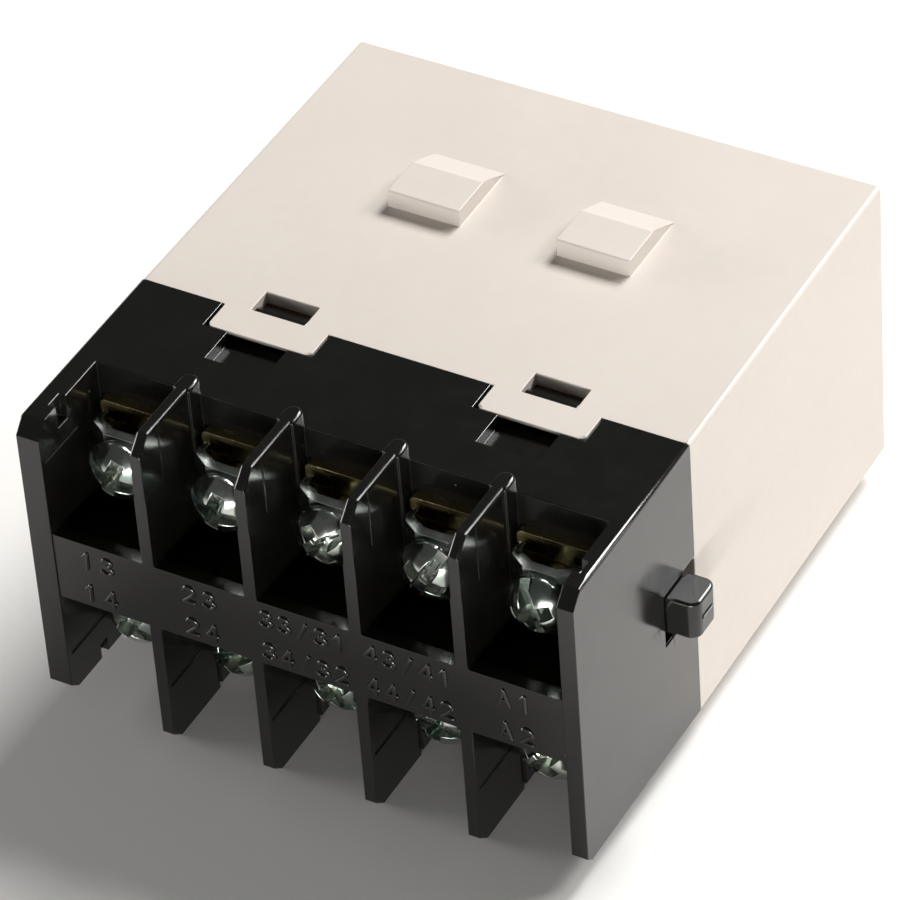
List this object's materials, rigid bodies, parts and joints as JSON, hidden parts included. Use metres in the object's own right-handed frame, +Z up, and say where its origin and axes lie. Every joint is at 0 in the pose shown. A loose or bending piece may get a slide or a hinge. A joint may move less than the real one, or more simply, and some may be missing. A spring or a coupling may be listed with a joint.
{
  "type": "screw-terminal power relay",
  "caption": "Block-shaped screw-terminal power relay or contactor with walled terminal bays in front, a latching rear cover with ramps, and a side test tab moved by a hinged armature.",
  "frame": {"origin": "centre of the flat back face of the cover", "axes": "+Y out of the back face, -Y towards the terminals, +Z up to the upper terminal row, +X along the terminal row to the side with the test tab"},
  "size_m": [0.0677, 0.0711, 0.0412],
  "materials": {
    "black_plastic": "semi-gloss moulded",
    "beige_plastic": "satin moulded",
    "insulating_board": "matt board",
    "bobbin_plastic": "satin moulded",
    "coil_tape": "glossy film",
    "copper_wire": "enamelled",
    "tinned_pin": "tinned",
    "magnet_steel": "zinc plated",
    "spring_steel": "bright drawn",
    "contact_silver": "polished",
    "brass": "stamped",
    "zinc_steel": "bright zinc plated"
  },
  "bodies": {
    "housing": {"terminal_block": "black_plastic", "rear_cover": "beige_plastic", "barrier_plate": "insulating_board", "coil_bobbin": "bobbin_plastic", "coil_winding": "copper_wire", "coil_tape": "coil_tape", "coil_pins": "tinned_pin", "coil_leads": "copper_wire", "core": "magnet_steel", "shading_ring": "copper_wire", "yoke": "magnet_steel", "armature_spring": "spring_steel", "fixed_contact_rivets": "contact_silver", "return_spring_left": "spring_steel", "return_spring_right": "spring_steel", "coil_terminal_top": "brass", "fixed_contact_top_1": "brass", "fixed_contact_top_2": "brass", "fixed_contact_top_3": "brass", "fixed_contact_top_4": "brass", "coil_terminal_bottom": "brass", "fixed_contact_bottom_1": "brass", "fixed_contact_bottom_2": "brass", "fixed_contact_bottom_3": "brass", "fixed_contact_bottom_4": "brass"},
    "crossbar": {"crossbar": "black_plastic", "bridge_rivets": "contact_silver", "contact_springs": "spring_steel", "contact_bridge_1": "brass", "contact_bridge_2": "brass", "contact_bridge_3": "brass", "contact_bridge_4": "brass"},
    "armature": {"armature": "magnet_steel"},
    "clamp_top_1": {"saddle_washer_top_1": "zinc_steel"},
    "screw_top_1": {"terminal_screw_top_1": "zinc_steel"},
    "clamp_top_2": {"saddle_washer_top_2": "zinc_steel"},
    "screw_top_2": {"terminal_screw_top_2": "zinc_steel"},
    "clamp_top_3": {"saddle_washer_top_3": "zinc_steel"},
    "screw_top_3": {"terminal_screw_top_3": "zinc_steel"},
    "clamp_top_4": {"saddle_washer_top_4": "zinc_steel"},
    "screw_top_4": {"terminal_screw_top_4": "zinc_steel"},
    "clamp_top_5": {"saddle_washer_top_5": "zinc_steel"},
    "screw_top_5": {"terminal_screw_top_5": "zinc_steel"},
    "clamp_bottom_1": {"saddle_washer_bottom_1": "zinc_steel"},
    "screw_bottom_1": {"terminal_screw_bottom_1": "zinc_steel"},
    "clamp_bottom_2": {"saddle_washer_bottom_2": "zinc_steel"},
    "screw_bottom_2": {"terminal_screw_bottom_2": "zinc_steel"},
    "clamp_bottom_3": {"saddle_washer_bottom_3": "zinc_steel"},
    "screw_bottom_3": {"terminal_screw_bottom_3": "zinc_steel"},
    "clamp_bottom_4": {"saddle_washer_bottom_4": "zinc_steel"},
    "screw_bottom_4": {"terminal_screw_bottom_4": "zinc_steel"},
    "clamp_bottom_5": {"saddle_washer_bottom_5": "zinc_steel"},
    "screw_bottom_5": {"terminal_screw_bottom_5": "zinc_steel"}
  },
  "joints": [
    {"name": "crossbar_slide", "type": "slide", "parent": "housing", "child": "crossbar", "axis": [0, 1, 0], "range_m": [0, 0.0028], "stiffness_N_per_m": 250, "springref_m": -0.002, "deforming": ["return_spring_left", "return_spring_right"]},
    {"name": "armature_hinge", "type": "hinge", "parent": "housing", "child": "armature", "pos_m": [0.00042, -0.03375, -0.0138], "axis": [-1, 0, 0], "range_deg": [0, 6.83]},
    {"name": "clamp_top_1_lift", "type": "slide", "parent": "housing", "child": "clamp_top_1", "axis": [0, -1, 0], "range_m": [-0.0006, 0.0018]},
    {"name": "screw_top_1_turn", "type": "hinge", "parent": "clamp_top_1", "child": "screw_top_1", "pos_m": [-0.02388, -0.0647, 0.01], "axis": [0, -1, 0], "range_deg": [-360, 1080]},
    {"name": "clamp_top_2_lift", "type": "slide", "parent": "housing", "child": "clamp_top_2", "axis": [0, -1, 0], "range_m": [-0.0006, 0.0018]},
    {"name": "screw_top_2_turn", "type": "hinge", "parent": "clamp_top_2", "child": "screw_top_2", "pos_m": [-0.01173, -0.0647, 0.01], "axis": [0, -1, 0], "range_deg": [-360, 1080]},
    {"name": "clamp_top_3_lift", "type": "slide", "parent": "housing", "child": "clamp_top_3", "axis": [0, -1, 0], "range_m": [-0.0006, 0.0018]},
    {"name": "screw_top_3_turn", "type": "hinge", "parent": "clamp_top_3", "child": "screw_top_3", "pos_m": [0.00042, -0.0647, 0.01], "axis": [0, -1, 0], "range_deg": [-360, 1080]},
    {"name": "clamp_top_4_lift", "type": "slide", "parent": "housing", "child": "clamp_top_4", "axis": [0, -1, 0], "range_m": [-0.0006, 0.0018]},
    {"name": "screw_top_4_turn", "type": "hinge", "parent": "clamp_top_4", "child": "screw_top_4", "pos_m": [0.01257, -0.0647, 0.01], "axis": [0, -1, 0], "range_deg": [-360, 1080]},
    {"name": "clamp_top_5_lift", "type": "slide", "parent": "housing", "child": "clamp_top_5", "axis": [0, -1, 0], "range_m": [-0.0006, 0.0018]},
    {"name": "screw_top_5_turn", "type": "hinge", "parent": "clamp_top_5", "child": "screw_top_5", "pos_m": [0.02472, -0.0647, 0.01], "axis": [0, -1, 0], "range_deg": [-360, 1080]},
    {"name": "clamp_bottom_1_lift", "type": "slide", "parent": "housing", "child": "clamp_bottom_1", "axis": [0, -1, 0], "range_m": [-0.0006, 0.0018]},
    {"name": "screw_bottom_1_turn", "type": "hinge", "parent": "clamp_bottom_1", "child": "screw_bottom_1", "pos_m": [-0.02388, -0.0647, -0.01], "axis": [0, -1, 0], "range_deg": [-360, 1080]},
    {"name": "clamp_bottom_2_lift", "type": "slide", "parent": "housing", "child": "clamp_bottom_2", "axis": [0, -1, 0], "range_m": [-0.0006, 0.0018]},
    {"name": "screw_bottom_2_turn", "type": "hinge", "parent": "clamp_bottom_2", "child": "screw_bottom_2", "pos_m": [-0.01173, -0.0647, -0.01], "axis": [0, -1, 0], "range_deg": [-360, 1080]},
    {"name": "clamp_bottom_3_lift", "type": "slide", "parent": "housing", "child": "clamp_bottom_3", "axis": [0, -1, 0], "range_m": [-0.0006, 0.0018]},
    {"name": "screw_bottom_3_turn", "type": "hinge", "parent": "clamp_bottom_3", "child": "screw_bottom_3", "pos_m": [0.00042, -0.0647, -0.01], "axis": [0, -1, 0], "range_deg": [-360, 1080]},
    {"name": "clamp_bottom_4_lift", "type": "slide", "parent": "housing", "child": "clamp_bottom_4", "axis": [0, -1, 0], "range_m": [-0.0006, 0.0018]},
    {"name": "screw_bottom_4_turn", "type": "hinge", "parent": "clamp_bottom_4", "child": "screw_bottom_4", "pos_m": [0.01257, -0.0647, -0.01], "axis": [0, -1, 0], "range_deg": [-360, 1080]},
    {"name": "clamp_bottom_5_lift", "type": "slide", "parent": "housing", "child": "clamp_bottom_5", "axis": [0, -1, 0], "range_m": [-0.0006, 0.0018]},
    {"name": "screw_bottom_5_turn", "type": "hinge", "parent": "clamp_bottom_5", "child": "screw_bottom_5", "pos_m": [0.02472, -0.0647, -0.01], "axis": [0, -1, 0], "range_deg": [-360, 1080]}
  ],
  "couplings": [
    {"joint": "armature_hinge", "follows": "crossbar_slide", "rad_per_m": 42.553},
    {"joint": "screw_top_1_turn", "follows": "clamp_top_1_lift", "rad_per_m": 10472},
    {"joint": "screw_top_2_turn", "follows": "clamp_top_2_lift", "rad_per_m": 10472},
    {"joint": "screw_top_3_turn", "follows": "clamp_top_3_lift", "rad_per_m": 10472},
    {"joint": "screw_top_4_turn", "follows": "clamp_top_4_lift", "rad_per_m": 10472},
    {"joint": "screw_top_5_turn", "follows": "clamp_top_5_lift", "rad_per_m": 10472},
    {"joint": "screw_bottom_1_turn", "follows": "clamp_bottom_1_lift", "rad_per_m": 10472},
    {"joint": "screw_bottom_2_turn", "follows": "clamp_bottom_2_lift", "rad_per_m": 10472},
    {"joint": "screw_bottom_3_turn", "follows": "clamp_bottom_3_lift", "rad_per_m": 10472},
    {"joint": "screw_bottom_4_turn", "follows": "clamp_bottom_4_lift", "rad_per_m": 10472},
    {"joint": "screw_bottom_5_turn", "follows": "clamp_bottom_5_lift", "rad_per_m": 10472}
  ]
}
